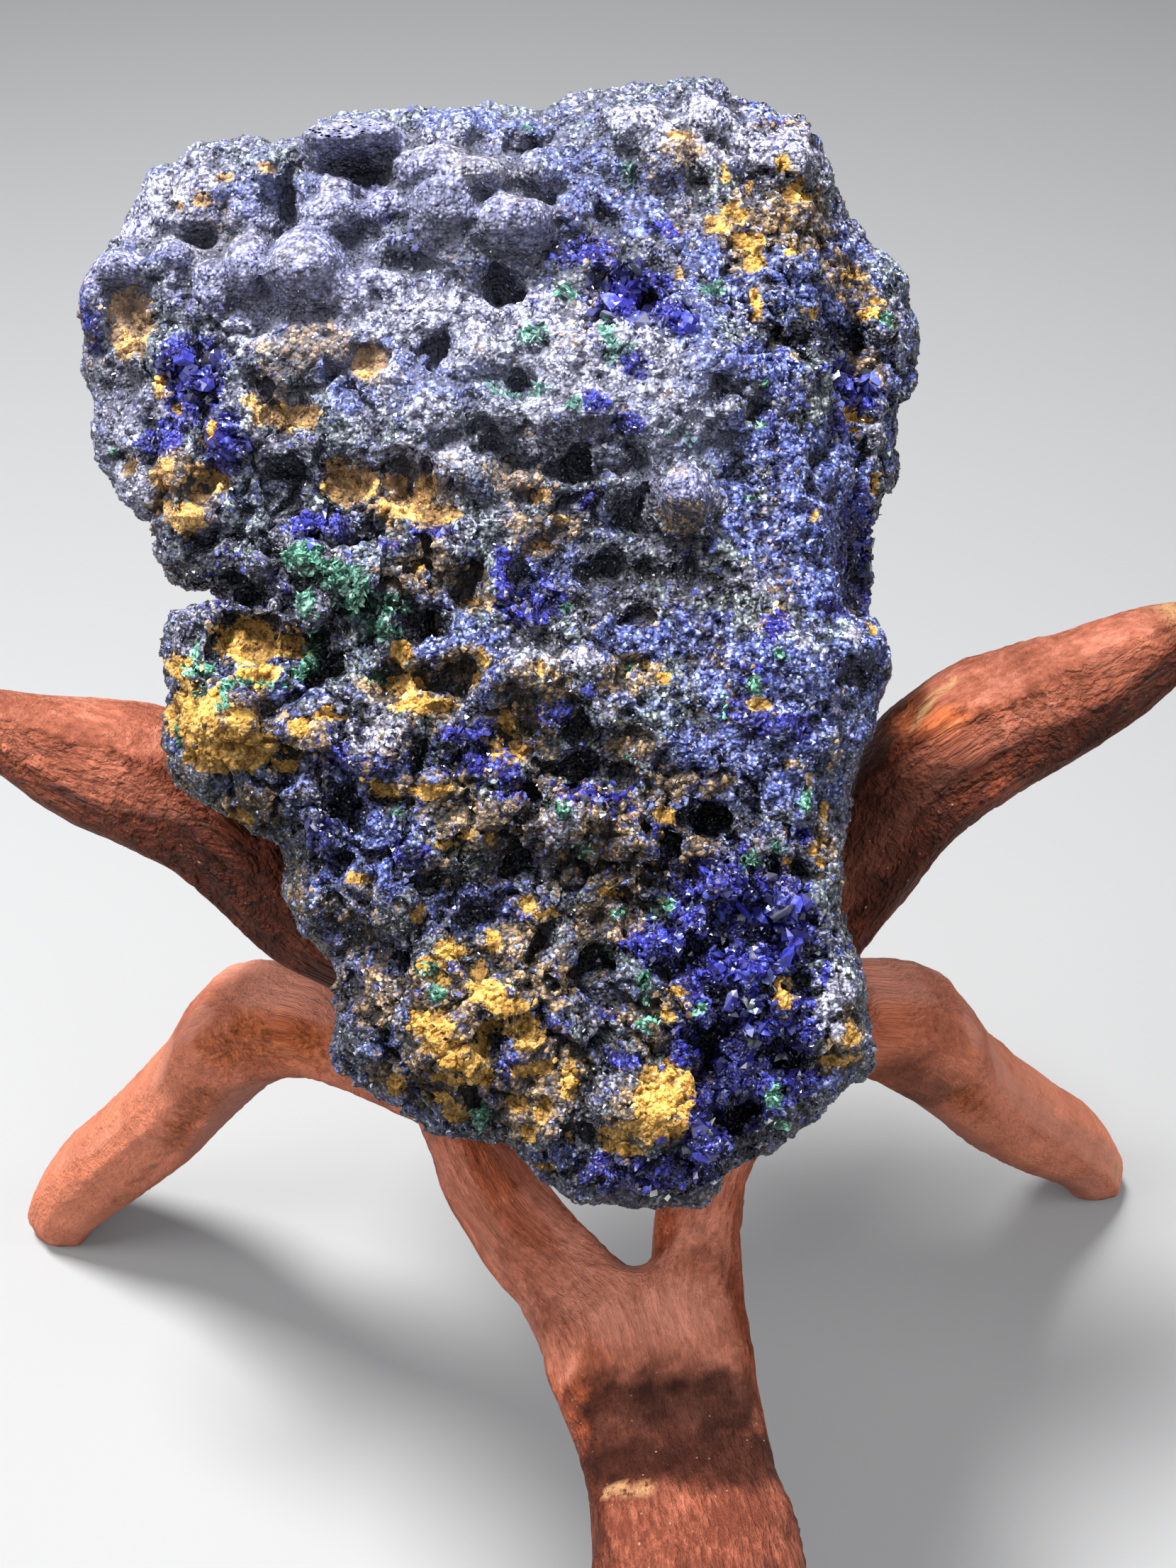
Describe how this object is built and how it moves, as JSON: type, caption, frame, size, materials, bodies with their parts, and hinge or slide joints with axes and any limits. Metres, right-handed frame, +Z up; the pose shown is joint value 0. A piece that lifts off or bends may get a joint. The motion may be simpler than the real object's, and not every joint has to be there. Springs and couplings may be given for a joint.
{
  "type": "azurite and malachite specimen",
  "caption": "Rough lump of azurite, malachite and yellow limonite ore, leaning back on the arms of an interlocked carved wooden display stand.",
  "frame": {"origin": "centre of the object's box, on the surface that the three feet stand on", "axes": "+Z up, -Y towards the viewer, who looks down on the ore's show face, +X to the viewer's right"},
  "size_m": [0.2194, 0.207, 0.2227],
  "materials": {
    "ore": "rough glittering azurite crust, deep blue to slate grey, with yellow ochre limonite and green malachite",
    "stained_wood": "hand-carved wood with a matt reddish-brown stain, tool marks and worn edges"
  },
  "bodies": {
    "root": {"azurite_malachite_specimen": "ore", "stand_left_member": "stained_wood", "stand_right_member": "stained_wood", "stand_front_member": "stained_wood"}
  },
  "joints": []
}
